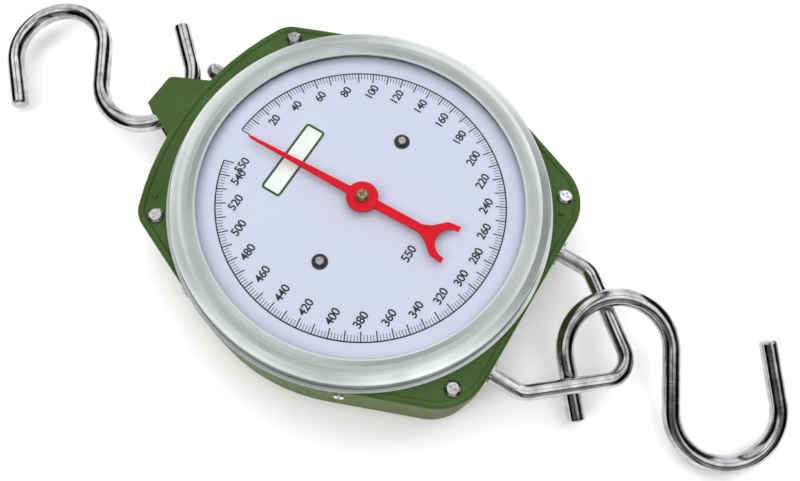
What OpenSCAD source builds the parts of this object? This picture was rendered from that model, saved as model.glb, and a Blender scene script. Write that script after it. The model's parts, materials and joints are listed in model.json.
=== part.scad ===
// Hanging game scale: a round dial scale that hangs from one S-hook and weighs
// what hangs from a second S-hook below it. Two extension springs carry the load,
// and a rack and pinion turn the pointer.
// The scale lies on its back: +Z points out of the dial, +Y towards the top hook,
// and the origin is on the back face under the pointer's axis. Millimetres.

/* [Casing] */
// Radius of the round middle of the casing
case_r = 95; // [93.5:0.5:98]
// Height of the front face above the back
case_h = 43; // [43:0.5:46]
// Radius of the two lower corners
corner_r = 26; // [24:0.5:27]
// How far a lower corner's centre lies inside the round
corner_in = 10.5458704384; // [8:0.000001:11]
// Angle of a lower corner's centre from straight below the pointer's axis
corner_turn = 33.4078245897; // [33:0.000001:34]
// Radius of the two upper shoulders
shoulder_r = 14; // [13.5:0.5:15]
// How far a shoulder's centre lies outside the round
shoulder_out = 0.5641146038; // [0.5:0.000001:2]
// Angle of a shoulder's centre from straight above the pointer's axis
shoulder_turn = 34.7709917126; // [34:0.000001:35.5]
// Radius of the arc across the top
top_r = 150; // [145:1:165]
// Sheet thickness of the rear shell
shell_wall = 1.2; // [1:0.1:1.5]
// Bend radius round the back
back_edge_r = 4; // [3:0.5:5]
// Sheet thickness of the front cover's skirt
skirt_wall = 1; // [0.8:0.1:1.2]
// How far the skirt reaches down over the rear shell
skirt_h = 15.4; // [13:0.2:17]
// Thickness of the front cover's face
face_t = 1.5; // [1:0.1:1.8]
// Radius of the rolled rim round the front
bead_r = 2; // [1.5:0.1:2.2]
// Play between the skirt and the rear shell
cover_play = 0.1; // [0.1:0.05:0.2]

/* [Window and dial] */
// How far the bezel stands over the round of the casing
bezel_over = 0.6; // [0.4:0.1:1]
// Width of the bezel from its flange to the window
bezel_w = 14.7; // [13.5:0.1:15.5]
// Height of the bezel's crest above the front face
bezel_h = 8; // [8:0.1:9]
// Thickness of the lens
lens_t = 1.2; // [1:0.1:1.4]
// Height of the lens's rim above the front face
lens_rim_h = 4.8; // [4.8:0.1:5.2]
// Rise of the lens from its rim to its middle
lens_rise = 7.2; // [7:0.1:8]
// How far the bezel's lip covers the lens
lip_w = 3.2; // [3:0.1:3.6]
// Thickness of the dial
dial_t = 1.2; // [0.8:0.1:1.4]
// Distance of a dial screw from the pointer's axis
dial_screw_x = 38.2; // [36:0.2:40]

/* [Pointer and movement] */
// Length of the pointer from its axis to its tip
pointer_l = 66; // [60:0.5:67]
// Length of the tail from the axis to the fork's tips
tail_l = 49.7; // [47:0.1:52]
// How far the pointer rests before the zero mark, in degrees
rest_turn = 2; // [0:0.1:3]
// Width of the pointer's blade at the hub
pointer_w = 4.6; // [4:0.1:5.5]
// Width of the pointer at its tip
pointer_tip_w = 1.4; // [1:0.1:2]
// Radius of the pointer's hub
hub_r = 8; // [7:0.5:9]
// Height of the pointer above the dial
pointer_lift = 3.5; // [3.2:0.1:3.6]
// Radius of the arbor
arbor_r = 2; // [1.9:0.05:2.2]
// Number of teeth on the pinion
pinion_teeth = 16; // [16:1:18]
// Module of the teeth
tooth_m = 0.625; // [0.6:0.005:0.64]
// Thickness of the rack
rack_t = 4; // [3.5:0.1:4.4]
// Thickness of the movement's plates
plate_t = 2; // [1.5:0.1:2.2]
// Distance between the movement's plates
pillar_h = 16.5; // [15.5:0.1:17]

/* [Hanger and springs] */
// Height of the bail, the springs and the hanger above the back
mid_z = 24; // [23.6:0.1:24.4]
// Height of the hanger bracket's top over the shoulders' centres
hanger_h = 49.7; // [48.5:0.1:52]
// Width of the bracket's web
web_w = 16.8; // [15:0.2:17]
// Width of the bracket's tapered legs at the anchor bar
leg_w = 49; // [46:0.5:50]
// Thickness of the bracket's strap
strap_t = 2; // [1.8:0.1:2.2]
// Inner height of the bracket, through which the top hook passes
tunnel_h = 17; // [16.6:0.1:17.4]
// Length of the anchor bar
anchor_l = 76; // [74:0.5:76]
// Depth of the anchor bar
anchor_d = 10; // [9:0.5:11]
// Distance of a spring from the middle line
spring_x = 29; // [28.9:0.1:30]
// Wire diameter of the springs
spring_wire = 4.6; // [4.2:0.1:4.6]
// Mean diameter of the springs
spring_d = 21.5; // [20.5:0.1:21.6]
// Least gap between a spring's coils at rest
coil_gap = 0.6; // [0.5:0.1:1.5]
// Radius of the eyebolts' shanks
eyebolt_r = 2.5; // [2.4:0.05:2.6]
// Radius of the zero knob
knob_r = 4.7; // [4.4:0.1:5]
// Height of the zero knob
knob_h = 13.8; // [13.5:0.1:15]

/* [Bail] */
// Radius of the bail's rod
bail_rod_r = 4; // [3.6:0.1:4.2]
// Distance of a leg from the middle line
bail_x = 37; // [36.6:0.1:37.4]
// Drop of the straight legs below the casing
bail_drop = 14.9; // [14:0.5:18]
// Bend radius where the legs turn inwards
bail_bend_r = 10; // [9:0.5:12]
// Angle that the legs turn inwards
bail_turn = 40; // [38:1:42]
// Bend radius of the bail's point
bail_point_r = 12; // [11:0.5:12.5]
// Length of the load bar
load_bar_l = 92; // [90:0.5:92]
// Width of the load bar along the springs
load_bar_w = 12; // [11:0.5:13]
// Height of the load bar
load_bar_h = 14; // [13.6:0.1:14.4]
// Distance of the load bar's upper face below the pointer's axis
load_bar_y = 22; // [22:0.5:24]

/* [Hooks] */
// Radius of the hooks' rod
hook_rod_r = 4.5; // [4.2:0.1:4.6]
// Mean radius of the top hook's loops
top_loop_r = 25.8; // [25.8:0.1:27]
// Distance between the top hook's loops
top_loop_gap = 55.8; // [55:0.1:58]
// Mean radius of the bottom hook's loops
bottom_loop_r = 26.3; // [26:0.1:27]
// Distance between the bottom hook's loops
bottom_loop_gap = 60.8; // [58:0.1:62]
// Height of the top hook's lower loop over the hanger bracket
top_hook_rise = 13.2; // [13:0.1:13.4]
// Height of the bottom hook's upper loop over the bail's tip
bottom_hook_rise = 6.7; // [6.5:0.1:6.9]

/* [Hidden] */
$fn = 96;

// Clearances
run_fit = 0.05;
slide_fit = 0.08;
screw_play = 0.1;
loose_play = 0.3;
// How far the ball at the end of a bend stands over its rod
weld = 0.02;
cut = 1;

// Colours
moss = [0.30, 0.42, 0.22];
bright = [0.78, 0.79, 0.80];
brassy = [0.72, 0.62, 0.35];
zinc = [0.62, 0.64, 0.66];

// Outline of the casing: arcs as [centre x, centre y, radius, start angle, end angle]
corner_x = (case_r - corner_in) * sin(corner_turn);
corner_y = (case_r - corner_in) * cos(corner_turn);
shoulder_x = (case_r + shoulder_out) * sin(shoulder_turn);
shoulder_y = (case_r + shoulder_out) * cos(shoulder_turn);
top_c = shoulder_y - sqrt(pow(top_r - shoulder_r, 2) - pow(shoulder_x, 2));
case_top = top_c + top_r;
case_bottom = -corner_y - corner_r;
low_a = atan2(-corner_y, corner_x) + acos((case_r - corner_r) / norm([corner_x, corner_y]));
high_a = atan2(shoulder_y, shoulder_x) - acos((case_r - shoulder_r) / norm([shoulder_x, shoulder_y]));
top_a = atan2(shoulder_y - top_c, shoulder_x);
ARCS = [
    [corner_x, -corner_y, corner_r, -90, low_a],
    [0, 0, case_r, low_a, high_a],
    [shoulder_x, shoulder_y, shoulder_r, high_a, top_a],
    [0, top_c, top_r, top_a, 180 - top_a],
    [-shoulder_x, shoulder_y, shoulder_r, 180 - top_a, 180 - high_a],
    [0, 0, case_r, 180 - high_a, 180 - low_a],
    [-corner_x, -corner_y, corner_r, 180 - low_a, 270]
];
function arc_point(arc, a, s) = [arc.x + (arc[2] - s) * cos(a), arc.y + (arc[2] - s) * sin(a)];
// Points of the outline, s inside it, every 4 degrees or less
function rim_points(s) = [
    for (arc = ARCS)
        let (n = ceil((arc[4] - arc[3]) / 4))
            for (i = [0 : n]) arc_point(arc, arc[3] + (arc[4] - arc[3]) * i / n, s)
];
// Quarter turn of radius r round c from angle a, in n steps
function quarter(c, r, a, turn, n) = [for (i = [0 : n]) c + r * [cos(a + turn * i / n), sin(a + turn * i / n)]];
shell_in = skirt_wall + cover_play;
shell_h = case_h - face_t - 3.5;
bead_h = 0.9;
bead_z = case_h + bead_h - bead_r;
face_z = case_h - face_t;
shell_inner = shell_in + shell_wall;
// Height of the top arc over the middle line at x, s inside the outline
function top_at(x, s) = top_c + sqrt(pow(top_r - s, 2) - x * x);

// Corner screws and side screws
post_r = 4.5;
post_bore_r = 2.05;
post_foot = 2;
screw_r = 2;
head_r = 3.9;
head_h = 2.2;
recess_r = 4.3;
recess_h = 0.5;
screw_l = 13;
CORNERS = [
    [shoulder_x + 5.8, shoulder_y + 2.1], [-shoulder_x - 5.8, shoulder_y + 2.1],
    [corner_x + 10.6, -corner_y - 14.6], [-corner_x - 10.6, -corner_y - 14.6]
];
PIPS = [[-shoulder_x + 2, shoulder_y + 8.4], [corner_x + 1.5, -corner_y - 17]];
pip_r = 1.6;
side_r = 1.5;
side_head_r = 2.6;
side_head_h = 1.6;
side_l = 7;
side_z = case_h - 9;
nut_h = 2.4;
// Side screws on the left as [angle of the straight's end, distance along the straight]
SIDES = [[180 - high_a, -12], [180 - low_a, 7.2]];

// Window and dial
bezel_r = case_r + bezel_over;
window_r = bezel_r - bezel_w;
lens_r = window_r + lip_w;
dial_r = lens_r - lens_t - 0.7;
cover_hole_r = dial_r + 0.4;
dome_r = (lens_r * lens_r + lens_rise * lens_rise) / (2 * lens_rise);
lens_top = case_h + lens_rim_h + lens_rise;
function lens_z(r) = lens_top - dome_r + sqrt(dome_r * dome_r - r * r);
lip_z = lens_z(window_r) + 0.2;
crest_r = bezel_r - 9.1;
flange_w = 1.9;
flange_t = 0.9;
crest_z = case_h + bezel_h;
dial_z = case_h + 0.3;
dial_face = dial_z + dial_t;
dial_hole_r = arbor_r + 1.5;
dial_screw_r = 1.5;
dial_head_r = 2.65;
washer_r = 4;
washer_t = 0.4;

// Movement
plate_top = face_z - 1;
plate_z = plate_top - plate_t;
bridge_top = plate_z - pillar_h;
bridge_z = bridge_top - plate_t;
pillar_r = 2.2;
pitch_r = pinion_teeth * tooth_m / 2;
PILLARS = [[-10, 10], [-10, -8], [pitch_r + 9.9, -6]];
plate_arm = 54;
plate_pillar_x = 50;
plate_pillar_r = 3.5;
bush_r = 4;
rear_pivot_r = 1.25;
rear_bush_r = 2.5;
pivot_shoulder = bridge_top + 0.8;
pointer_z = dial_face + pointer_lift;
blade_t = 0.9;
hub_t = 1.4;
pointer_screw_r = 1.2;
pointer_head_r = 3.25;
pointer_head_h = 2.8;
tail_w = 4.6;
fork_r = 7.9;
fork_tip_w = 2.7;
fork_base = fork_r - tail_l + 9;
fork_neck = [4.2, fork_r - tail_l + 4.8];
fork_corner = [9.8, fork_r - tail_l - 1.2];

// Teeth: stub involute teeth, thinned for play
pressure = 20;
tooth_pitch = PI * tooth_m;
addendum = 0.8 * tooth_m;
dedendum = 1.28 * tooth_m;
tooth_play = 0.12;
tooth_w = tooth_pitch / 2 - tooth_play;
base_r = pitch_r * cos(pressure);
function involute(a) = tan(a) * 180 / PI - a;
function pressure_at(r) = r > base_r ? acos(base_r / r) : 0;
function flank(r) = tooth_w / 2 / pitch_r * 180 / PI + involute(pressure) - involute(pressure_at(r));
function polar(r, a) = [r * cos(a), r * sin(a)];
TOOTH_RADII = [pitch_r - dedendum, base_r, pitch_r, pitch_r + addendum / 2, pitch_r + addendum];
rack_back = 4.2;
rack_first = -3;
rack_last = 18;
rack_tip_x = pitch_r - addendum;
rack_root_x = pitch_r + dedendum;
rack_back_x = rack_root_x + rack_back;

// Hanger
hanger_y = shoulder_y + hanger_h;
tunnel_top = hanger_y - strap_t;
anchor_top = case_top - 10;
anchor_y = anchor_top - anchor_d;
leg_top = anchor_top + 1;
leg_foot = anchor_y - 6;
strap_bend_r = 5;
shoulder_w = anchor_l;
slot_play = 0.3;
function hanger_half(y) = web_w / 2 + (hanger_y - y) * (leg_w - web_w) / 2 / (hanger_y - leg_top);
rivet_r = 2.5;
rivet_x = 20;
rivet_head_r = 4;
rivet_head_h = 1.3;
spacer_r = 3.5;
spacer_x = 12;

// Eyebolts, springs and zero adjuster
eye_r = 5.5;
eye_wire = 2;
eye_y = anchor_y - eye_r - eye_wire - 0.5;
ring_r = 6.5;
link_gap = 0.7;
upper_ring_y = eye_y - eye_r - ring_r + eye_wire + spring_wire / 2 + link_gap;
lug_hole_y = -load_bar_y + 7;
lower_ring_y = lug_hole_y + ring_r + 0.1;
spring_mid = (upper_ring_y + lower_ring_y) / 2;
coil_half = (upper_ring_y - lower_ring_y) / 2 - ring_r - 3.1;
spring_turns = floor(2 * coil_half / (spring_wire + coil_gap));
coil_r = spring_d / 2;
sleeve_r = 4;
sleeve_top = top_at(spring_x, shell_in) + 3.4;
knob_y = sleeve_top + 0.3;
zero_travel = 0.8;
eyebolt_top = knob_y + 8.3;

// Bail and load bar
bail_bend_y = case_bottom - bail_drop;
bail_run = (bail_x - bail_bend_r * (1 - cos(bail_turn)) - bail_point_r * cos(bail_turn)) / sin(bail_turn);
bail_point_y = bail_bend_y - bail_bend_r * sin(bail_turn) - bail_run * cos(bail_turn)
    + bail_point_r * sin(bail_turn);
bail_tip = bail_point_y - bail_point_r;
leg_end = -load_bar_y - 2;
pin_r = 1.5;
pin_y = -load_bar_y - load_bar_w / 2;
lug_t = 3;
lug_r = 5.5;
lug_hole_r = 3.3;
guide_r = 5.5;
guide_flange_r = 7;
guide_flange_t = 1.5;
rack_z = mid_z + load_bar_h / 2;
rack_foot_w = 10;
rack_screw_r = 1.5;
rack_head_r = 2.6;
rack_screw_gap = 5.6;

// Hooks as [x, y, z] of the captive loop's centre, tilt, and direction of the other loop
top_hook_at = [5.1, hanger_y + top_hook_rise, mid_z - 1.6];
top_hook_tilt = [-5.65, -8.53, 0];
top_hook_dir = 100.4;
bottom_hook_at = [7.5, bail_tip + bottom_hook_rise, mid_z - 0.25];
bottom_hook_tilt = [6.36, -21.8, 0];
bottom_hook_dir = -90;
// Turn of each loop and length of each tail, the captive one first
top_hook_wraps = [218, 214.5];
top_hook_tails = [25.5, 26];
bottom_hook_wraps = [220.5, 220];
bottom_hook_tails = [31.5, 31.5];
hook_chamfer = 1;

// Solid whose rings follow the outline, one ring for each [inset, height] of the profile.
// The first ring is closed from below and the last from above.
module rim_solid(profile) {
    rings = [for (p = profile) [for (q = rim_points(p.x)) [q.x, q.y, p.y]]];
    n = len(rings[0]);
    points = [for (ring = rings) each ring];
    walls = [
        for (k = [0 : len(rings) - 2], i = [0 : n - 1])
            let (a = k * n + i, b = k * n + (i + 1) % n)
                each [[a, a + n, b], [b, a + n, b + n]]
    ];
    last = (len(rings) - 1) * n;
    polyhedron(points, concat(walls, [[for (i = [0 : n - 1]) i]], [[for (i = [n - 1 : -1 : 0]) last + i]]));
}

// Children stand on the casing's side at each side screw, with +Z outwards
module at_side_screws() {
    for (m = [0, 1], side = SIDES)
        mirror([m, 0, 0])
            translate(concat(polar(case_r, side[0]) + side[1] * polar(1, side[0] + 90), side_z))
                rotate([0, 90, side[0]]) children();
}

// Cylinder along +Y from y0 to y1
module rod_y(x, y0, y1, z, r) {
    translate([x, y0, z]) rotate([-90, 0, 0]) cylinder(h = y1 - y0, r = r);
}

// Ball over the joint of a bend and a straight, its poles on the rod's line along Y
module bend_end(r) {
    rotate([90, 0, 0]) sphere(r + weld);
}

// Pan head with a cross recess, its seat at z = 0
module pan_head(r, h) {
    difference() {
        union() {
            cylinder(h = h * 0.6, r = r);
            translate([0, 0, h * 0.6]) cylinder(h = h * 0.4, r1 = r, r2 = r * 0.72);
        }
        for (a = [0, 90])
            rotate(a) translate([-r * 0.55, -r * 0.11, h * 0.45]) cube([r * 1.1, r * 0.22, h]);
    }
}

// Holes for the bracket's legs, the zero sleeve and the bail's guides
module wall_cuts() {
    for (side = [-1, 1]) {
        translate([0, 0, mid_z + side * (tunnel_h + strap_t) / 2 - strap_t / 2 - slot_play])
            linear_extrude(strap_t + 2 * slot_play)
                polygon([
                    [-hanger_half(leg_top) - slot_play, leg_top],
                    [hanger_half(leg_top) + slot_play, leg_top],
                    [hanger_half(case_top + cut) + slot_play, case_top + cut],
                    [-hanger_half(case_top + cut) - slot_play, case_top + cut]
                ]);
        rod_y(side * bail_x, case_bottom - cut, case_bottom + 5, mid_z, guide_r + screw_play);
    }
    rod_y(spring_x, anchor_top + 2, case_top + cut, mid_z, sleeve_r + 0.2);
    at_side_screws() translate([0, 0, -side_l]) cylinder(h = side_l + cut, r = side_r + screw_play);
}

module rear_shell() {
    edge = shell_in + back_edge_r;
    color(moss)
        difference() {
            rim_solid(concat(
                quarter([edge, back_edge_r], back_edge_r, -90, -90, 5),
                [[shell_in, shell_h], [shell_inner, shell_h]],
                quarter([edge, back_edge_r], back_edge_r - shell_wall, 180, 90, 4)
            ));
            wall_cuts();
        }
}

module front_cover() {
    flat_a = asin((case_h - bead_z) / bead_r);
    color(moss)
        difference() {
            union() {
                rim_solid(concat(
                    [[2 * bead_r, face_z], [skirt_wall, face_z]],
                    [[skirt_wall, bead_z - skirt_h], [0, bead_z - skirt_h]],
                    quarter([bead_r, bead_z], bead_r, 180, flat_a - 180, 8)
                ));
                for (p = PIPS) translate([p.x, p.y, case_h - 0.5]) sphere(pip_r);
            }
            translate([0, 0, face_z - cut]) cylinder(h = face_t + 2 * cut, r = cover_hole_r);
            translate([0, 0, case_h]) cylinder(h = bead_r, r = bezel_r + bezel_over);
            for (p = CORNERS) {
                translate([p.x, p.y, case_h - recess_h]) cylinder(h = bead_r, r = recess_r);
                translate([p.x, p.y, face_z - cut]) cylinder(h = face_t + cut, r = screw_r + screw_play);
            }
            wall_cuts();
        }
}

module bezel() {
    color(bright)
        rotate_extrude()
            polygon([
                [lens_r + loose_play, case_h], [bezel_r, case_h],
                [bezel_r, case_h + flange_t], [bezel_r - flange_w, case_h + flange_t],
                [bezel_r - flange_w - 0.2, crest_z - 1.9], [bezel_r - flange_w - 0.8, crest_z - 1.1],
                [crest_r + 2.5, crest_z - 0.2], [crest_r, crest_z],
                [crest_r - 2, crest_z - 0.2], [window_r + 0.9, crest_z - 1.3],
                [window_r, crest_z - 2], [window_r, lip_z], [lens_r + loose_play, lip_z]
            ]);
}

module lens() {
    color([0.85, 0.92, 0.95, 0.35])
        rotate_extrude() {
            intersection() {
                translate([0, lens_top - dome_r])
                    difference() {
                        circle(dome_r, $fn = 720);
                        circle(dome_r - lens_t, $fn = 720);
                    }
                translate([0, case_h]) square([lens_r, lens_top]);
            }
            translate([lens_r - lens_t, case_h]) square([lens_t, lens_rim_h - lens_t / 2]);
        }
}

module dial_plate() {
    color("white")
        difference() {
            translate([0, 0, dial_z]) cylinder(h = dial_t, r = dial_r);
            translate([0, 0, dial_z - cut]) cylinder(h = dial_t + 2 * cut, r = dial_hole_r);
            for (side = [-1, 1])
                translate([side * dial_screw_x, 0, dial_z - cut])
                    cylinder(h = dial_t + 2 * cut, r = dial_screw_r + screw_play);
        }
}

module dial_screws() {
    color(zinc)
        for (side = [-1, 1])
            translate([side * dial_screw_x, 0, 0]) {
                translate([0, 0, dial_face]) cylinder(h = washer_t, r = washer_r);
                translate([0, 0, dial_face + washer_t]) pan_head(dial_head_r, 1.4);
                translate([0, 0, plate_z]) cylinder(h = dial_face - plate_z + cut / 2, r = dial_screw_r);
            }
}

module dial_posts() {
    color(zinc)
        for (side = [-1, 1])
            translate([side * dial_screw_x, 0, plate_top])
                difference() {
                    cylinder(h = dial_z - plate_top, r = 3);
                    translate([0, 0, -cut]) cylinder(h = 5, r = dial_screw_r + run_fit);
                }
}

module movement_plate() {
    stem_w = 2 * spacer_x + 10;
    color(zinc)
        difference() {
            translate([0, 0, plate_z])
                linear_extrude(plate_t) {
                    translate([-plate_arm, -12]) square([2 * plate_arm, 22]);
                    translate([-stem_w / 2, -12]) square([stem_w, anchor_top + 13]);
                }
            translate([0, 0, plate_z - cut]) cylinder(h = plate_t + 2 * cut, r = bush_r + 0.02);
            for (side = [-1, 1])
                translate([side * dial_screw_x, 0, plate_z - cut])
                    cylinder(h = plate_t + 2 * cut, r = dial_screw_r + run_fit);
        }
}

module movement_bridge() {
    color(zinc)
        difference() {
            translate([0, 0, bridge_z])
                linear_extrude(plate_t) {
                    translate([-14, -12]) square([28, 26]);
                    translate([-14, -12]) square([PILLARS[2].x + 18, 9]);
                }
            translate([0, 0, bridge_z - cut]) cylinder(h = plate_t + 2 * cut, r = rear_bush_r + 0.02);
        }
}

module movement_pillars() {
    color(zinc)
        for (p = PILLARS)
            translate([p.x, p.y, bridge_top]) cylinder(h = pillar_h, r = pillar_r);
}

module plate_pillars() {
    color(zinc)
        for (side = [-1, 1])
            translate([side * plate_pillar_x, -2, shell_wall])
                cylinder(h = plate_z - shell_wall, r = plate_pillar_r);
}

module front_bush() {
    color(brassy)
        difference() {
            union() {
                translate([0, 0, plate_z]) cylinder(h = plate_t, r = bush_r);
                translate([0, 0, plate_top]) cylinder(h = 0.7, r = bush_r + 1.5);
            }
            translate([0, 0, plate_z - cut]) cylinder(h = plate_t + 3, r = arbor_r + run_fit);
        }
}

module rear_bush() {
    color(brassy)
        difference() {
            union() {
                translate([0, 0, bridge_z]) cylinder(h = plate_t, r = rear_bush_r);
                translate([0, 0, bridge_top]) cylinder(h = 0.6, r = rear_bush_r + 1);
            }
            translate([0, 0, bridge_z - cut]) cylinder(h = plate_t + 3, r = rear_pivot_r + run_fit);
        }
}

module rack_guide() {
    color("ivory")
        difference() {
            translate([rack_back_x + 0.1, PILLARS[2].y - 4, rack_z - 1]) cube([7, 8, rack_t + 2]);
            translate([PILLARS[2].x, PILLARS[2].y, rack_z - 2])
                cylinder(h = rack_t + 4, r = pillar_r + run_fit);
        }
}

// Rounded U in the YZ plane, extruded along X
module strap_bend(w, y0, y1, r) {
    translate([-shoulder_w, 0, mid_z])
        rotate([0, 90, 0])
            linear_extrude(2 * shoulder_w) {
                translate([-w / 2, y0]) square([w, y1 - r - y0]);
                translate([-w / 2 + r, y0]) square([w - 2 * r, y1 - y0]);
                for (side = [-1, 1]) translate([side * (w / 2 - r), y1 - r]) circle(r);
            }
}

module hanger_bracket() {
    color(moss)
        difference() {
            intersection() {
                difference() {
                    strap_bend(tunnel_h + 2 * strap_t, leg_foot, hanger_y, strap_bend_r);
                    strap_bend(tunnel_h, leg_foot - cut, tunnel_top, strap_bend_r - strap_t);
                }
                linear_extrude(2 * mid_z)
                    polygon([
                        [-web_w / 2, hanger_y], [web_w / 2, hanger_y], [leg_w / 2, leg_top],
                        [shoulder_w / 2, leg_top], [shoulder_w / 2, leg_foot],
                        [-shoulder_w / 2, leg_foot], [-shoulder_w / 2, leg_top], [-leg_w / 2, leg_top]
                    ]);
            }
            for (side = [-1, 1])
                translate([side * rivet_x, anchor_y + anchor_d / 2, 0])
                    cylinder(h = 2 * mid_z, r = rivet_r + run_fit);
        }
}

module anchor_bar() {
    color(zinc)
        difference() {
            translate([-anchor_l / 2, anchor_y, mid_z - tunnel_h / 2]) cube([anchor_l, anchor_d, tunnel_h]);
            for (side = [-1, 1]) {
                rod_y(side * spring_x, anchor_y - cut, anchor_top + cut, mid_z, eyebolt_r + run_fit);
                translate([side * rivet_x, anchor_y + anchor_d / 2, 0])
                    cylinder(h = 2 * mid_z, r = rivet_r + run_fit);
            }
        }
}

module hanger_rivets() {
    strap = tunnel_h / 2 + strap_t;
    color(zinc)
        for (side = [-1, 1])
            translate([side * rivet_x, anchor_y + anchor_d / 2, mid_z]) {
                translate([0, 0, -strap]) cylinder(h = 2 * strap, r = rivet_r);
                for (m = [0, 1])
                    mirror([0, 0, m])
                        translate([0, 0, strap])
                            cylinder(h = rivet_head_h, r1 = rivet_head_r, r2 = rivet_head_r - 1);
            }
}

module bracket_spacers() {
    strap = tunnel_h / 2 + strap_t;
    color(zinc)
        for (side = [-1, 1])
            translate([side * spacer_x, anchor_y + anchor_d / 2, 0]) {
                translate([0, 0, shell_wall]) cylinder(h = mid_z - strap - shell_wall, r = spacer_r);
                translate([0, 0, mid_z + strap]) cylinder(h = plate_z - mid_z - strap, r = spacer_r);
            }
}

// Eyebolt along Y whose ring holds a spring's upper ring
module eyebolt(x, top) {
    translate([x, eye_y, mid_z])
        rotate([0, 90, 0]) rotate_extrude() translate([eye_r, 0]) circle(eye_wire, $fn = 48);
    rod_y(x, eye_y + eye_r, top, mid_z, eyebolt_r);
}

module left_eyebolt() {
    color(zinc) eyebolt(-spring_x, anchor_top + nut_h + 0.4);
}

module left_nut() {
    color(zinc)
        difference() {
            translate([-spring_x, anchor_top, mid_z])
                rotate([-90, 0, 0]) cylinder(h = nut_h, r = 4.6, $fn = 6);
            rod_y(-spring_x, anchor_top - cut, anchor_top + nut_h + cut, mid_z, eyebolt_r + run_fit);
        }
}

module zero_sleeve() {
    color(zinc)
        difference() {
            rod_y(spring_x, anchor_top, sleeve_top, mid_z, sleeve_r);
            rod_y(spring_x, anchor_top - cut, sleeve_top + cut, mid_z, eyebolt_r + slide_fit);
        }
}

module zero_eyebolt() {
    color(zinc) eyebolt(spring_x, eyebolt_top);
}

module zero_knob() {
    barrel = knob_y + knob_h - knob_r;
    color(bright)
        difference() {
            union() {
                rod_y(spring_x, knob_y, barrel, mid_z, knob_r);
                translate([spring_x, barrel, mid_z]) sphere(knob_r);
            }
            rod_y(spring_x, knob_y - cut, eyebolt_top + zero_travel + 0.4, mid_z, eyebolt_r + run_fit);
        }
}

// Centre line of a spring, from its lower ring to its upper ring, around the Y axis
coil_steps = 8;
coil_end = 180 * spring_turns;
function coil_point(a) = [
    coil_r * cos(a), spring_mid + coil_half * a / coil_end, coil_r * sin(a)
];
function bezier(p, t) =
    pow(1 - t, 3) * p[0] + 3 * t * pow(1 - t, 2) * p[1] + 3 * t * t * (1 - t) * p[2] + pow(t, 3) * p[3];
coil_side = cos(coil_end);
LEAD = [
    coil_point(coil_end), coil_point(coil_end) + [0, 0.8, 6 * coil_side],
    [5 * coil_side, upper_ring_y - ring_r, 0], [0, upper_ring_y - ring_r, 0]
];
UPPER_END = concat(
    [for (i = [1 : 4]) bezier(LEAD, i / 4)],
    [for (i = [1 : 6]) [-coil_side * ring_r * sin(45 * i), upper_ring_y - ring_r * cos(45 * i), 0]]
);
function turned(p) = [p.x, 2 * spring_mid - p.y, -p.z];
SPRING_PATH = concat(
    [for (i = [len(UPPER_END) - 1 : -1 : 0]) turned(UPPER_END[i])],
    [for (i = [0 : spring_turns * coil_steps]) coil_point(-coil_end + 360 * i / coil_steps)],
    UPPER_END
);
spring_gap = min([
    for (i = [0 : len(SPRING_PATH) - 6], j = [i + 5 : len(SPRING_PATH) - 1])
        norm(SPRING_PATH[i] - SPRING_PATH[j])
]) - spring_wire;
echo(least_gap_of_a_spring_to_itself = spring_gap);

// Round tube along a path, its rings turned as little as possible
function unit(v) = v / norm(v);
function along(path, i) = unit(path[min(i + 1, len(path) - 1)] - path[max(i - 1, 0)]);
function square_to(v, t) = unit(v - (v * t) * t);
module tube(path, r, sides) {
    n = len(path);
    normals = [
        for (i = 0, v = square_to([0.3, 1, 0.2], along(path, 0));
            i < n;
            i = i + 1, v = i < n ? square_to(v, along(path, i)) : v) v
    ];
    points = [
        for (i = [0 : n - 1])
            let (u = normals[i], w = cross(along(path, i), u))
                for (j = [0 : sides - 1])
                    path[i] + r * (cos(360 * j / sides) * u + sin(360 * j / sides) * w)
    ];
    walls = [
        for (i = [0 : n - 2], j = [0 : sides - 1])
            let (a = i * sides + j, b = i * sides + (j + 1) % sides)
                each [[a, a + sides, b], [b, a + sides, b + sides]]
    ];
    caps = [
        for (j = [1 : sides - 2])
            each [[0, j, j + 1], [n * sides - 1, n * sides - 1 - j, n * sides - 2 - j]]
    ];
    polyhedron(points, concat(walls, caps));
}

module spring(x) {
    translate([x, 0, mid_z]) tube(SPRING_PATH, spring_wire / 2, 6);
}

module spring_left() {
    color("dimgray") spring(-spring_x);
}

module spring_right() {
    color("dimgray") spring(spring_x);
}

module corner_posts() {
    color(zinc)
        for (p = CORNERS)
            translate([p.x, p.y, shell_wall])
                difference() {
                    union() {
                        cylinder(h = post_foot, r1 = post_r - post_foot, r2 = post_r);
                        translate([0, 0, post_foot]) cylinder(h = face_z - shell_wall - post_foot, r = post_r);
                    }
                    translate([0, 0, face_z - shell_wall - screw_l])
                        cylinder(h = screw_l + cut, r = post_bore_r);
                }
}

module cover_screws() {
    color(bright)
        for (p = CORNERS)
            translate([p.x, p.y, case_h - recess_h]) {
                pan_head(head_r, head_h);
                translate([0, 0, -screw_l]) cylinder(h = screw_l + cut / 2, r = screw_r);
            }
}

module side_screws() {
    color(bright)
        at_side_screws() {
            pan_head(side_head_r, side_head_h);
            translate([0, 0, -side_l]) cylinder(h = side_l + cut / 2, r = side_r);
        }
}

module side_nuts() {
    color(zinc)
        at_side_screws()
            translate([0, 0, -shell_inner - nut_h])
                difference() {
                    cylinder(h = nut_h, r = 3.1, $fn = 6);
                    translate([0, 0, -cut]) cylinder(h = nut_h + 2 * cut, r = side_r + run_fit);
                }
}

module bail_bushes() {
    color(zinc)
        for (side = [-1, 1])
            difference() {
                union() {
                    rod_y(side * bail_x, case_bottom, case_bottom + 7, mid_z, guide_r);
                    rod_y(side * bail_x, case_bottom - guide_flange_t, case_bottom, mid_z, guide_flange_r);
                }
                rod_y(side * bail_x, case_bottom - 3, case_bottom + 9, mid_z, bail_rod_r + slide_fit);
            }
}

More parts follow.
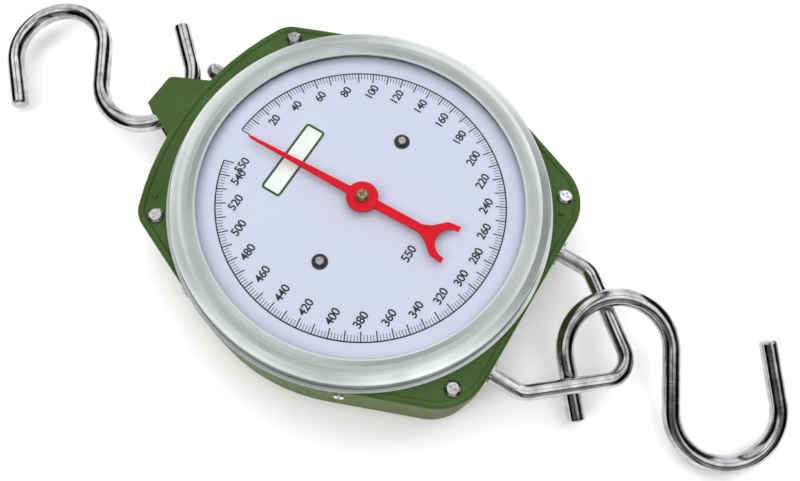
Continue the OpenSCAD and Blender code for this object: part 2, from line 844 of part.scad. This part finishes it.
module bail() {
    color(bright)
        difference() {
            translate([0, 0, mid_z])
                union() {
                    for (m = [0, 1])
                        mirror([m, 0, 0]) {
                            rod_y(bail_x, bail_bend_y, leg_end, 0, bail_rod_r);
                            translate([bail_x, bail_bend_y, 0]) bend_end(bail_rod_r);
                            translate([bail_x - bail_bend_r, bail_bend_y, 0])
                                rotate(-bail_turn) {
                                    rotate_extrude(angle = bail_turn)
                                        translate([bail_bend_r, 0]) circle(bail_rod_r);
                                    rod_y(bail_bend_r, -bail_run, 0, 0, bail_rod_r);
                                    translate([bail_bend_r, -bail_run, 0]) bend_end(bail_rod_r);
                                }
                        }
                    translate([0, bail_point_y, 0])
                        rotate(bail_turn - 180)
                            rotate_extrude(angle = 180 - 2 * bail_turn)
                                translate([bail_point_r, 0]) circle(bail_rod_r);
                }
            for (side = [-1, 1])
                translate([side * bail_x, pin_y, 0]) cylinder(h = 2 * mid_z, r = pin_r + run_fit);
        }
}

module load_bar() {
    color(zinc)
        difference() {
            union() {
                translate([-load_bar_l / 2, -load_bar_y - load_bar_w, mid_z - load_bar_h / 2])
                    cube([load_bar_l, load_bar_w, load_bar_h]);
                for (side = [-1, 1])
                    translate([side * spring_x - lug_t / 2, 0, mid_z]) {
                        translate([0, -load_bar_y - cut, -lug_r]) cube([lug_t, 7 + cut, 2 * lug_r]);
                        translate([0, lug_hole_y, 0]) rotate([0, 90, 0]) cylinder(h = lug_t, r = lug_r);
                    }
            }
            for (side = [-1, 1]) {
                translate([side * spring_x - lug_t, lug_hole_y, mid_z])
                    rotate([0, 90, 0]) cylinder(h = 2 * lug_t, r = lug_hole_r);
                rod_y(side * bail_x, -load_bar_y - load_bar_w - cut, leg_end, mid_z, bail_rod_r + run_fit);
                translate([side * bail_x, pin_y, 0]) cylinder(h = 2 * mid_z, r = pin_r + run_fit);
                translate([rack_back_x - 2, pin_y + side * rack_screw_gap / 2, rack_z - 6])
                    cylinder(h = 6 + cut, r = rack_screw_r + run_fit);
            }
        }
}

module bail_pins() {
    color(zinc)
        for (side = [-1, 1])
            translate([side * bail_x, pin_y, mid_z - load_bar_h / 2])
                cylinder(h = load_bar_h, r = pin_r);
}

// Straight flanked teeth on the left of a strip, foot below
module rack() {
    slope = tan(pressure);
    teeth = [
        for (k = [rack_last : -1 : rack_first])
            each [
                [rack_root_x, k * tooth_pitch + tooth_w / 2 + dedendum * slope],
                [rack_tip_x, k * tooth_pitch + tooth_w / 2 - addendum * slope],
                [rack_tip_x, k * tooth_pitch - tooth_w / 2 + addendum * slope],
                [rack_root_x, k * tooth_pitch - tooth_w / 2 - dedendum * slope]
            ]
    ];
    top = (rack_last + 0.6) * tooth_pitch;
    foot_y = -load_bar_y - load_bar_w + 1;
    color(brassy)
        difference() {
            translate([0, 0, rack_z])
                linear_extrude(rack_t) {
                    polygon(concat(
                        [[rack_back_x, top], [rack_root_x, top]],
                        teeth,
                        [[rack_root_x, foot_y], [rack_back_x, foot_y]]
                    ));
                    translate([rack_back_x - 2 - rack_foot_w / 2, foot_y])
                        square([rack_foot_w, load_bar_w - 2]);
                }
            for (side = [-1, 1])
                translate([rack_back_x - 2, pin_y + side * rack_screw_gap / 2, rack_z - cut])
                    cylinder(h = rack_t + 2 * cut, r = rack_screw_r + run_fit);
        }
}

module rack_screws() {
    color(zinc)
        for (side = [-1, 1])
            translate([rack_back_x - 2, pin_y + side * rack_screw_gap / 2, rack_z]) {
                translate([0, 0, rack_t]) pan_head(rack_head_r, 1.6);
                translate([0, 0, -5.5]) cylinder(h = rack_t + 6, r = rack_screw_r);
            }
}

module pointer() {
    color("crimson")
        rotate(rest_turn) difference() {
            union() {
                translate([0, 0, pointer_z])
                    linear_extrude(blade_t) {
                        polygon([
                            [-pointer_w / 2, 0], [pointer_w / 2, 0],
                            [pointer_tip_w / 2, pointer_l - 2], [0, pointer_l], [-pointer_tip_w / 2, pointer_l - 2]
                        ]);
                        translate([-tail_w / 2, fork_base]) square([tail_w, -fork_base]);
                        difference() {
                            polygon([
                                [-tail_w / 2, fork_base], [-fork_neck.x, fork_neck.y],
                                [-fork_corner.x, fork_corner.y], [-fork_r - fork_tip_w, -tail_l],
                                [fork_r + fork_tip_w, -tail_l], [fork_corner.x, fork_corner.y],
                                [fork_neck.x, fork_neck.y], [tail_w / 2, fork_base]
                            ]);
                            translate([0, -tail_l]) circle(fork_r);
                        }
                    }
                translate([0, 0, pointer_z]) cylinder(h = hub_t, r = hub_r);
            }
            translate([0, 0, pointer_z - cut]) cylinder(h = hub_t + 2 * cut, r = pointer_screw_r + run_fit);
        }
}

module pointer_screw() {
    color(brassy) {
        translate([0, 0, pointer_z + hub_t]) pan_head(pointer_head_r, pointer_head_h);
        translate([0, 0, pointer_z - 6]) cylinder(h = hub_t + 6 + cut / 2, r = pointer_screw_r);
    }
}

module arbor() {
    color(zinc)
        difference() {
            union() {
                translate([0, 0, bridge_z - 1]) cylinder(h = pivot_shoulder - bridge_z + 2, r = rear_pivot_r);
                translate([0, 0, pivot_shoulder]) cylinder(h = pointer_z - pivot_shoulder, r = arbor_r);
            }
            translate([0, 0, pointer_z - 7]) cylinder(h = 8, r = pointer_screw_r + run_fit);
        }
}

// Gear with a space, not a tooth, towards the rack
module pinion() {
    outline = [
        for (i = [0 : pinion_teeth - 1])
            let (mid = (i + 0.5) * 360 / pinion_teeth)
                each concat(
                    [for (r = TOOTH_RADII) polar(r, mid - flank(r))],
                    [for (k = [len(TOOTH_RADII) - 1 : -1 : 0]) polar(TOOTH_RADII[k], mid + flank(TOOTH_RADII[k]))]
                )
    ];
    color(brassy)
        difference() {
            translate([0, 0, rack_z - 0.5]) linear_extrude(rack_t + 1) polygon(outline);
            translate([0, 0, rack_z - 2]) cylinder(h = rack_t + 4, r = arbor_r + 0.02);
        }
}

// S-hook in the XY plane, its captive loop round the origin and its other loop along +X
module s_hook(loop_r, gap, wraps, tails) {
    lean = acos(2 * loop_r / gap);
    translate([gap / 2, 0, 0]) rotate(lean) bend_end(hook_rod_r);
    for (turn = [0, 1])
        translate([turn * gap, 0, 0])
            rotate(turn * 180) {
                wrap = wraps[turn];
                tail = tails[turn];
                rotate(lean) {
                    rotate_extrude(angle = wrap - lean)
                        translate([loop_r, 0]) circle(hook_rod_r);
                    rod_y(loop_r, -loop_r * tan(lean), 0, 0, hook_rod_r);
                }
                rotate(wrap) {
                    translate([loop_r, 0, 0]) bend_end(hook_rod_r);
                    rod_y(loop_r, 0, tail - hook_chamfer, 0, hook_rod_r);
                    translate([loop_r, tail - hook_chamfer, 0])
                        rotate([-90, 0, 0])
                            cylinder(h = hook_chamfer, r1 = hook_rod_r, r2 = hook_rod_r - hook_chamfer);
                }
            }
}

module top_hook() {
    color(bright)
        translate(top_hook_at)
            rotate(top_hook_tilt)
                rotate(top_hook_dir)
                    s_hook(top_loop_r, top_loop_gap, top_hook_wraps, top_hook_tails);
}

module bottom_hook() {
    color(bright)
        translate(bottom_hook_at)
            rotate(bottom_hook_tilt)
                rotate(bottom_hook_dir)
                    s_hook(bottom_loop_r, bottom_loop_gap, bottom_hook_wraps, bottom_hook_tails);
}

rear_shell();
front_cover();
bezel();
lens();
dial_plate();
dial_screws();
dial_posts();
movement_plate();
movement_bridge();
movement_pillars();
plate_pillars();
front_bush();
rear_bush();
rack_guide();
hanger_bracket();
anchor_bar();
hanger_rivets();
bracket_spacers();
left_eyebolt();
left_nut();
zero_sleeve();
spring_left();
spring_right();
corner_posts();
cover_screws();
side_screws();
side_nuts();
bail_bushes();
bail();
load_bar();
bail_pins();
rack();
rack_screws();
pointer();
pointer_screw();
arbor();
pinion();
zero_knob();
zero_eyebolt();
top_hook();
bottom_hook();
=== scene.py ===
"""Looks of the hanging game scale: camera, materials, the dial's print, floor and light.

Everything is in metres in the part's frame: +Z out of the dial, +Y towards the top hook,
and the origin on the back face under the pointer's axis.
"""
import math

import bpy
from mathutils import Matrix, Vector
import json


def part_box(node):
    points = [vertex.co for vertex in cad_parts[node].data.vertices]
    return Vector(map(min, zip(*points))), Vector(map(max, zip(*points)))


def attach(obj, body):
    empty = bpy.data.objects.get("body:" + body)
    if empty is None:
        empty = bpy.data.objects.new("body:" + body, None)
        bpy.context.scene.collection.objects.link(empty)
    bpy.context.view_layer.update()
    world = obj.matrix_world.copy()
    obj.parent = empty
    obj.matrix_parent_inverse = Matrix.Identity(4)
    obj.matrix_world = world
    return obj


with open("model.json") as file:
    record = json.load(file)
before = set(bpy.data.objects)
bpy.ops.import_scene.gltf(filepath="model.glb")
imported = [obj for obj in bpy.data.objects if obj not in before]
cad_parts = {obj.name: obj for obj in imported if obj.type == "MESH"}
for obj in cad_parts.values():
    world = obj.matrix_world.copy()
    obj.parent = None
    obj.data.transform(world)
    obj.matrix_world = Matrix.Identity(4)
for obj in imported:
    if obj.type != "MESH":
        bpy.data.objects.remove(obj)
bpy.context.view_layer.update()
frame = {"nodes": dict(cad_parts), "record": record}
nodes = frame["nodes"]

# Camera, worked out from the ellipses of the dial and the bezel
CAMERA_AT = Vector((-0.14045, -0.08314, 0.42732))
CAMERA_RIGHT = Vector((0.51762308, -0.85392983, 0.05357419))
CAMERA_UP = Vector((0.79209452, 0.50193262, 0.34734696))
CAMERA_BACK = Vector((-0.32350056, -0.13735899, 0.93620505))
LENS_MM = 37.715
SENSOR_MM = 36
CLIP = (0.01, 20)

# Colours, linear
MOSS = (0.038, 0.080, 0.016, 1)
# Walls: lighter than the front, a painted sheen where light grazes the sides
MOSS_WALL_PAINTED_SHEEN = (0.110, 0.140, 0.048, 1)
BARE_SHEET = (0.55, 0.57, 0.60, 1)
RED = (0.52, 0.003, 0.012, 1)
DIAL_WHITE = (0.450, 0.472, 0.580, 1)
LENS_TINT = (0.30, 0.32, 0.35, 1)
INK = (0.008, 0.008, 0.011, 1)
FAINT_INK = (0.06, 0.063, 0.08, 1)
INK_GREEN = (0.016, 0.050, 0.010, 1)
RING_METAL = ((0.68, 0.71, 0.715), (0.76, 0.785, 0.795))

# Paint: faces whose normal is this upright turn from wall, coloured lighter as a painted sheen, to
# front, and bare sheet under the window
WALL_UPRIGHT = 0.15
FRONT_UPRIGHT = 0.55
MASK_R = 0.0875

# Window's ring, by distance from the axis, shares of the metal's colour that paint its light: lip and
# dull band darker as painted reflection, bright crest as a painted highlight, dark groove as a painted
# shadow, flange
RING_R = 0.0960
RING_PAINTED_LIGHT = [
    (0.0817, 0.66), (0.0822, 0.78), (0.0845, 0.74), (0.0864, 0.76), (0.0880, 1.00), (0.0912, 1.02),
    (0.0920, 1.18), (0.0931, 1.18), (0.0934, 0.36), (0.0938, 0.36), (0.0940, 0.88), (0.0956, 0.85),
]
LIP_R = 0.0819
CIRCLES_PER_M = 1900.0
CIRCLES_DEPTH = 0.04

# Dial screws, from the middle of the head to the washer's edge
WASHER_R = 0.004
WASHER_SPOTS = 0.0012
WASHER_TONES = [(0.0, 0.62), (0.55, 0.42), (0.66, 0.14), (0.80, 0.035)]

# The dial's print
DIAL_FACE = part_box("dial_plate")[1].z
INK_T = 0.00006
ARC_R = 0.072
ARC_W = 0.0007
ARC_STEPS = 300
CAPACITY = 550
SWEEP_DEG = 345.0
TICK = 2
MAJOR = 10
LABELLED = 20
MINOR_L = 0.0034
MINOR_GAP = 0.0002
MAJOR_L = 0.0052
MINOR_W = 0.00038
MAJOR_W = 0.0006
NUMBER_SIZE = 0.0060
NUMBER_WEIGHT = 0.022
NUMBER_SPACING = 0.94
NUMBER_R = 0.0630
NUMBER_DROP = 0.0020
FRAME_SIZE = (0.0424, 0.0112)
FRAME_AT = (0.0003, 0.0408)
FRAME_W = 0.0013
FRAME_CORNER = 0.0008
FRAME_STEPS = 6
CAPACITY_AT = (-0.0118, -0.0343)
CAPACITY_SIZE = 0.0062

# Floor
FLOOR_HALF = 3.0
FLOOR_DROP = 0.0003
FLOOR_WHITE = 0.93

# Lamps as name, place, width and height, watts; all aim at the origin
LAMPS = [
    ("overhead", (0.1, 0.1, 1.3), (1.6, 1.6), 13),
    ("key", (-0.9, 0.5, 0.9), (0.7, 0.7), 7),
    ("rim", (0.9, -0.6, 0.7), (0.5, 0.9), 5),
]

# Light panels round the part: how bright the sky is by how far it lies along each direction
SKY_STRENGTH = 1.35
BACKDROP = (0.60, 0.60, 0.60, 1)
PANEL_ACROSS = (0.52, -0.85, 0.05)
ACROSS_TONES = [
    (-1.0, 0.45), (-0.97, 0.01), (-0.68, 0.01), (-0.60, 0.80), (-0.45, 1.0), (-0.18, 0.95),
    (-0.12, 0.12), (-0.02, 0.12), (0.04, 1.1), (0.45, 1.1), (0.55, 0.60), (0.60, 0.01), (0.94, 0.01),
    (0.99, 0.45),
]
PANEL_UP = (0.79, 0.50, 0.35)
UPWARD_TONES = [
    (-0.60, 0.30), (-0.42, 0.10), (-0.22, 0.10), (-0.14, 0.85), (0.36, 0.95), (0.42, 0.25),
    (0.48, 0.25), (0.54, 0.95), (0.86, 0.85), (1.0, 0.65),
]


def make_camera():
    data = bpy.data.cameras.new("camera")
    data.lens = LENS_MM
    data.sensor_width = SENSOR_MM
    data.clip_start, data.clip_end = CLIP
    camera = bpy.data.objects.new("camera", data)
    bpy.context.scene.collection.objects.link(camera)
    turn = Matrix((CAMERA_RIGHT, CAMERA_UP, CAMERA_BACK)).transposed()
    camera.matrix_world = Matrix.Translation(CAMERA_AT) @ turn.to_4x4()
    bpy.context.scene.camera = camera


make_camera()


# Helpers for node trees
def material(name):
    mat = bpy.data.materials.new(name)
    mat.use_nodes = True
    tree = mat.node_tree
    return mat, tree, tree.nodes["Principled BSDF"]


def add(tree, kind, **values):
    node = tree.nodes.new(kind)
    for key, value in values.items():
        if key in node.inputs:
            node.inputs[key].default_value = value
        else:
            setattr(node, key, value)
    return node


def maths(tree, operation, a, b=None):
    node = add(tree, "ShaderNodeMath", operation=operation)
    for socket, value in zip(node.inputs, (a, b)):
        if value is None:
            continue
        if isinstance(value, (int, float)):
            socket.default_value = value
        else:
            tree.links.new(value, socket)
    return node.outputs["Value"]


def mix(tree, factor, a, b, blend_type="MIX"):
    """Colour a turned into b, or combined with it, by the factor."""
    node = add(tree, "ShaderNodeMix", data_type="RGBA", blend_type=blend_type)
    for socket, value in ((node.inputs["Factor"], factor), (node.inputs[6], a), (node.inputs[7], b)):
        if isinstance(value, (float, tuple)):
            socket.default_value = value
        else:
            tree.links.new(value, socket)
    return node.outputs[2]


def axes(tree, coordinate):
    """X, Y and Z of a texture coordinate."""
    split = add(tree, "ShaderNodeSeparateXYZ")
    tree.links.new(add(tree, "ShaderNodeTexCoord").outputs[coordinate], split.inputs["Vector"])
    return [split.outputs[axis] for axis in "XYZ"]


def distance(tree, x, y):
    return maths(
        tree, "SQRT",
        maths(tree, "ADD", maths(tree, "MULTIPLY", x, x), maths(tree, "MULTIPLY", y, y)),
    )


def radius(tree):
    """Distance from the pointer's axis."""
    x, y, _ = axes(tree, "Object")
    return distance(tree, x, y)


def noise(tree, scale, detail, rough=0.5):
    node = add(tree, "ShaderNodeTexNoise", Scale=scale, Detail=detail, Roughness=rough)
    tree.links.new(add(tree, "ShaderNodeTexCoord").outputs["Object"], node.inputs["Vector"])
    return node.outputs["Fac"]


def grey(value):
    return (value, value, value, 1)


def tinted(colour, share):
    return tuple(share * c for c in colour[:3])


def ramp(tree, fac, stops):
    """Ramp through stops of place and tone, where a tone is a colour or a grey's value."""
    node = add(tree, "ShaderNodeValToRGB")
    while len(node.color_ramp.elements) < len(stops):
        node.color_ramp.elements.new(0.5)
    for element, (at, tone) in zip(node.color_ramp.elements, stops):
        colour = grey(tone) if isinstance(tone, float) else tone
        element.position = at
        element.color = colour if len(colour) == 4 else (*colour, 1)
    tree.links.new(fac, node.inputs["Fac"])
    return node.outputs["Color"]


def cloudy(tree, scale, detail, low, high):
    """Tone that drifts between two with a noise of that scale."""
    return ramp(tree, noise(tree, scale, detail), [(0.3, low), (0.7, high)])


def feed(tree, shader, **sources):
    """Link outputs to the shader's inputs, named with _ for a space."""
    for name, output in sources.items():
        tree.links.new(output, shader.inputs[name.replace("_", " ")])


def bump(tree, shader, scale, detail, strength):
    node = add(tree, "ShaderNodeBump", Strength=strength, Distance=0.0002)
    tree.links.new(noise(tree, scale, detail), node.inputs["Height"])
    feed(tree, shader, Normal=node.outputs["Normal"])


# Materials
def moss_paint():
    """Stove enamel with slow colour drift and orange peel; the side walls are coloured lighter as a
    painted sheen; the sheet under the window is bare.
    """
    mat, tree, shader = material("moss_paint")
    front = cloudy(tree, 35, 4, tinted(MOSS, 0.82), tinted(MOSS, 1.15))
    upright = maths(tree, "ABSOLUTE", axes(tree, "Normal")[2])
    # Painted sheen: walls, found by their normal, get the lighter colour
    wall_sheen_share = ramp(tree, upright, [(WALL_UPRIGHT, 1.0), (FRONT_UPRIGHT, 0.0)])
    painted = mix(tree, wall_sheen_share, front, MOSS_WALL_PAINTED_SHEEN)
    under_window = maths(tree, "LESS_THAN", radius(tree), MASK_R)
    feed(
        tree, shader,
        Base_Color=mix(tree, under_window, painted, BARE_SHEET),
        Roughness=cloudy(tree, 260, 2, 0.32, 0.46),
        Specular_IOR_Level=ramp(tree, upright, [(WALL_UPRIGHT, 0.03), (FRONT_UPRIGHT, 0.18)]),
    )
    bump(tree, shader, 900, 2, 0.05)
    return mat


def plated(name, low, high, rough, marks):
    """Bright plating with cloudy tone, fine drawing marks and a few dull spots."""
    mat, tree, shader = material(name)
    shader.inputs["Metallic"].default_value = 1.0
    feed(
        tree, shader,
        Base_Color=ramp(tree, noise(tree, 120, 5, 0.6), [(0.3, low), (0.7, high)]),
        Roughness=ramp(tree, noise(tree, marks, 6, 0.7), [(0.35, rough), (0.75, rough + 0.14)]),
    )
    bump(tree, shader, 1500, 3, 0.05)
    return mat


def spun_ring():
    """Polished ring with the faint circles that spinning leaves; its lip is matt. Its colour carries
    painted light in bands by radius: darker painted reflection on the lip and dull band, a painted
    highlight on the crest and a painted shadow in the groove.
    """
    mat, tree, shader = material("bright_ring")
    reach = radius(tree)
    metal = cloudy(tree, 28, 3, *RING_METAL)
    # Painted light: the metal's colour scaled by radius, with a painted highlight on the crest and a
    # painted shadow in the groove
    painted_light = ramp(
        tree, maths(tree, "MULTIPLY", reach, 1 / RING_R),
        [(r / RING_R, share) for r, share in RING_PAINTED_LIGHT],
    )
    circles = maths(tree, "SINE", maths(tree, "MULTIPLY", reach, CIRCLES_PER_M))
    uneven = maths(tree, "ADD", noise(tree, 70, 4), maths(tree, "MULTIPLY", circles, CIRCLES_DEPTH))
    feed(
        tree, shader,
        Base_Color=mix(tree, 1.0, metal, painted_light, "MULTIPLY"),
        Roughness=ramp(tree, uneven, [(0.3, 0.28), (0.7, 0.38)]),
        Metallic=maths(tree, "GREATER_THAN", reach, LIP_R),
    )
    return mat


def clear_lens():
    """Clear moulded plastic, nearly all alpha, with a little haze."""
    mat, tree, shader = material("clear_lens")
    shader.inputs["Base Color"].default_value = LENS_TINT
    shader.inputs["Roughness"].default_value = 0.05
    shader.inputs["IOR"].default_value = 1.49
    feed(tree, shader, Alpha=cloudy(tree, 18, 3, 0.006, 0.012))
    mat.blend_method = "BLEND"
    return mat


def dial_enamel():
    """Satin white with a faint cool drift."""
    mat, tree, shader = material("dial_white")
    feed(
        tree, shader,
        Base_Color=cloudy(tree, 14, 3, tinted(DIAL_WHITE, 0.97), DIAL_WHITE),
        Roughness=cloudy(tree, 400, 2, 0.42, 0.52),
    )
    return mat


def ink(name, colour):
    mat, tree, shader = material(name)
    shader.inputs["Roughness"].default_value = 0.45
    tone = ramp(tree, noise(tree, 1800, 2), [(0.3, colour), (0.75, tinted(colour, 1.5))])
    feed(tree, shader, Base_Color=tone)
    return mat


def red_paint():
    mat, tree, shader = material("pointer_red")
    shader.inputs["Roughness"].default_value = 0.45
    shader.inputs["Specular IOR Level"].default_value = 0.05
    feed(tree, shader, Base_Color=cloudy(tree, 90, 3, tinted(RED, 0.9), RED))
    bump(tree, shader, 1300, 2, 0.08)
    return mat


def dial_screw_metal():
    """Pale steel head with spots, darkening to the washer round it."""
    mat, tree, shader = material("dial_screw_metal")
    shader.inputs["Metallic"].default_value = 0.7
    x, y, _ = axes(tree, "Object")
    low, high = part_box("dial_screws")
    screw_x = (high.x - low.x) / 2 - WASHER_R
    from_screw = distance(tree, maths(tree, "SUBTRACT", maths(tree, "ABSOLUTE", x), screw_x), y)
    spots = maths(tree, "MULTIPLY", noise(tree, 900, 2), WASHER_SPOTS)
    share = maths(tree, "MULTIPLY", maths(tree, "ADD", from_screw, spots), 1 / WASHER_R)
    feed(
        tree, shader,
        Base_Color=ramp(tree, share, WASHER_TONES),
        Roughness=cloudy(tree, 700, 3, 0.28, 0.42),
    )
    return mat


def plain_solid(name, colour, rough, metallic=0.0):
    mat, tree, shader = material(name)
    shader.inputs["Metallic"].default_value = metallic
    feed(
        tree, shader,
        Base_Color=cloudy(tree, 150, 4, tinted(colour, 0.85), colour),
        Roughness=cloudy(tree, 600, 3, rough, rough + 0.12),
    )
    return mat


MATERIALS = {
    "moss_paint": moss_paint(),
    "chrome": plated("chrome", (0.30, 0.30, 0.315), (0.68, 0.68, 0.70), 0.07, 240),
    "screw_chrome": plated("screw_chrome", (0.55, 0.55, 0.57), (0.95, 0.95, 0.97), 0.20, 900),
    "knob": plated("knob_chrome", (0.34, 0.33, 0.37), (0.74, 0.73, 0.77), 0.16, 500),
    "bright_ring": spun_ring(),
    "clear_lens": clear_lens(),
    "dial_white": dial_enamel(),
    "pointer_red": red_paint(),
    "brass": plain_solid("brass", (0.42, 0.37, 0.20), 0.25, 1.0),
    "nylon": plain_solid("nylon", (0.78, 0.76, 0.66), 0.45),
    "zinc_steel": plain_solid("zinc_steel", (0.50, 0.52, 0.54), 0.30, 1.0),
    "spring_steel": plain_solid("spring_steel", (0.13, 0.13, 0.14), 0.30, 1.0),
    "dial_screws": dial_screw_metal(),
    "ink": ink("ink", INK),
    "faint_ink": ink("faint_ink", FAINT_INK),
    "green_ink": ink("green_ink", INK_GREEN),
    "label_ground": plain_solid("label_ground", (0.66, 0.69, 0.67), 0.45),
}
NODE_MATERIAL = {
    "zero_knob": "knob",
    "dial_screws": "dial_screws",
    "cover_screws": "screw_chrome",
    "side_screws": "screw_chrome",
}


def dress_nodes():
    slots = {entry["node"]: entry["material_slot"] for entry in frame["record"]["subparts"]}
    for name, node in nodes.items():
        mat = MATERIALS[NODE_MATERIAL.get(name, slots[name])]
        node.data.materials.clear()
        node.data.materials.append(mat)
        for polygon in node.data.polygons:
            polygon.material_index = 0


dress_nodes()


# The dial's print
def place_print(piece, mat):
    """Show a printed piece on the case's dial."""
    bpy.context.scene.collection.objects.link(piece)
    piece.data.materials.append(MATERIALS[mat])
    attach(piece, "case")


def print_mesh(name, verts, faces, mat):
    mesh = bpy.data.meshes.new(name)
    mesh.from_pydata(verts, [], faces)
    mesh.update()
    place_print(bpy.data.objects.new(name, mesh), mat)


def slab(outline, thickness=INK_T):
    """Vertices and faces of a flat closed plate on the dial with that outline, counter-clockwise."""
    n = len(outline)
    top = DIAL_FACE + thickness
    verts = [(x, y, DIAL_FACE) for x, y in outline] + [(x, y, top) for x, y in outline]
    faces = [tuple(range(n - 1, -1, -1)), tuple(range(n, 2 * n))]
    faces += [(i, (i + 1) % n, n + (i + 1) % n, n + i) for i in range(n)]
    return verts, faces


def join(parts):
    verts, faces = [], []
    for part_verts, part_faces in parts:
        start = len(verts)
        verts += part_verts
        faces += [tuple(i + start for i in face) for face in part_faces]
    return verts, faces


def at_value(value, r):
    angle = math.radians(value * SWEEP_DEG / CAPACITY)
    return r * math.sin(angle), r * math.cos(angle)


def radial_bar(value, r0, r1, width):
    out = Vector(at_value(value, 1))
    side = Vector((-out.y, out.x)) * width / 2
    corners = [out * r0 + side, out * r0 - side, out * r1 - side, out * r1 + side]
    return slab([tuple(c) for c in corners])


def arc_band(r0, r1):
    """Ring sector over the whole scale, as strips from the outer to the inner edge."""
    values = [CAPACITY * i / ARC_STEPS for i in range(ARC_STEPS + 1)]
    outline = [at_value(v, r1) for v in reversed(values)] + [at_value(v, r0) for v in values]
    verts, faces = slab(outline)
    n = len(outline)
    strips = []
    for i in range(ARC_STEPS):
        a, b, c, d = i, i + 1, n - 2 - i, n - 1 - i
        strips += [(d, c, b, a), (n + a, n + b, n + c, n + d)]
    return verts, strips + faces[2:]


def scale_marks():
    outer = ARC_R + ARC_W / 2
    strong = [arc_band(outer - ARC_W, outer)]
    faint = []
    for value in range(0, CAPACITY + 1, TICK):
        if value % MAJOR:
            faint.append(radial_bar(value, ARC_R - MINOR_L, ARC_R - MINOR_GAP, MINOR_W))
        else:
            strong.append(radial_bar(value, ARC_R - MAJOR_L, ARC_R, MAJOR_W))
    print_mesh("scale_marks", *join(strong), "ink")
    print_mesh("fine_marks", *join(faint), "faint_ink")


def printed(name, text, size, at):
    data = bpy.data.curves.new(name, "FONT")
    data.body = text
    data.size = size
    data.align_x = "CENTER"
    data.align_y = "CENTER"
    data.extrude = INK_T / 2
    data.offset = size * NUMBER_WEIGHT
    data.space_character = NUMBER_SPACING
    piece = bpy.data.objects.new(name, data)
    piece.location = (*at, DIAL_FACE + INK_T / 2)
    place_print(piece, "ink")


def numbers():
    for value in [*range(LABELLED, CAPACITY, LABELLED), CAPACITY]:
        x, y = at_value(value, NUMBER_R)
        sideways = abs(x) / NUMBER_R
        inward = 1 - NUMBER_DROP * sideways / NUMBER_R
        printed(f"number_{value}", str(value), NUMBER_SIZE, (x * inward, y * inward))
    printed("capacity", str(CAPACITY), CAPACITY_SIZE, CAPACITY_AT)


def rounded_box(inset, corner):
    """Outline of the label place, drawn in from its edge by the inset."""
    half_x, half_y = (side / 2 - inset - corner for side in FRAME_SIZE)
    points = []
    for across, up, start in ((1, 1, 0), (-1, 1, 90), (-1, -1, 180), (1, -1, 270)):
        for i in range(FRAME_STEPS + 1):
            angle = math.radians(start + 90 * i / FRAME_STEPS)
            points.append((
                FRAME_AT[0] + across * half_x + corner * math.cos(angle),
                FRAME_AT[1] + up * half_y + corner * math.sin(angle),
            ))
    return points


def label_frame():
    """Bare label place: a green outline with nothing written inside."""
    outer = rounded_box(0, FRAME_CORNER + FRAME_W)
    inner = rounded_box(FRAME_W, FRAME_CORNER)
    n = len(outer)
    verts = [(x, y, z) for z in (DIAL_FACE, DIAL_FACE + INK_T) for x, y in outer + inner]
    faces = []
    for i in range(n):
        j = (i + 1) % n
        faces += [
            (2 * n + i, 2 * n + j, 3 * n + j, 3 * n + i), (i, n + i, n + j, j),
            (i, j, 2 * n + j, 2 * n + i), (n + i, 3 * n + i, 3 * n + j, n + j),
        ]
    print_mesh("label_frame", verts, faces, "green_ink")
    print_mesh("label_ground", *slab(inner, INK_T / 2), "label_ground")


scale_marks()
numbers()
label_frame()


# Floor and light
def make_floor():
    mesh = bpy.data.meshes.new("floor")
    square = [(-1, -1), (1, -1), (1, 1), (-1, 1)]
    mesh.from_pydata([(x * FLOOR_HALF, y * FLOOR_HALF, 0) for x, y in square], [], [(0, 1, 2, 3)])
    mat, tree, shader = material("floor_white")
    shader.inputs["Base Color"].default_value = grey(FLOOR_WHITE)
    shader.inputs["Roughness"].default_value = 0.9
    mesh.materials.append(mat)
    floor = bpy.data.objects.new("floor", mesh)
    floor.location.z = -FLOOR_DROP
    bpy.context.scene.collection.objects.link(floor)


def area_light(name, at, size, watts):
    data = bpy.data.lights.new(name, "AREA")
    data.shape = "RECTANGLE"
    data.size, data.size_y = size
    data.energy = watts
    lamp = bpy.data.objects.new(name, data)
    lamp.location = at
    lamp.visible_glossy = False
    lamp.rotation_euler = (-Vector(at)).to_track_quat("-Z", "Y").to_euler()
    bpy.context.scene.collection.objects.link(lamp)


def along(tree, direction, tones):
    """Brightness by how far a direction of the sky lies along the given one, from -1 to 1."""
    dot = add(tree, "ShaderNodeVectorMath", operation="DOT_PRODUCT")
    tree.links.new(add(tree, "ShaderNodeTexCoord").outputs["Generated"], dot.inputs[0])
    dot.inputs[1].default_value = direction
    share = maths(tree, "MULTIPLY", maths(tree, "ADD", dot.outputs["Value"], 1.0), 0.5)
    return ramp(tree, share, [((at + 1) / 2, tone) for at, tone in tones])


def make_world():
    """Room of soft panels with dark gaps, which bright metal shows as streaks; plain and pale behind."""
    world = bpy.data.worlds.new("studio")
    world.use_nodes = True
    tree = world.node_tree
    bpy.context.scene.world = world
    background = tree.nodes["Background"]
    background.inputs["Strength"].default_value = SKY_STRENGTH
    across = along(tree, PANEL_ACROSS, ACROSS_TONES)
    upward = along(tree, PANEL_UP, UPWARD_TONES)
    sky = mix(tree, 1.0, across, upward, "MULTIPLY")
    seen = add(tree, "ShaderNodeLightPath").outputs["Is Camera Ray"]
    tree.links.new(mix(tree, seen, sky, BACKDROP), background.inputs["Color"])


make_floor()
make_world()
for lamp_values in LAMPS:
    area_light(*lamp_values)
bpy.context.scene.view_settings.view_transform = "Standard"


def corners(box):
    return [[float(value) for value in corner] for corner in box]


def write_sizes():
    import json


write_sizes()
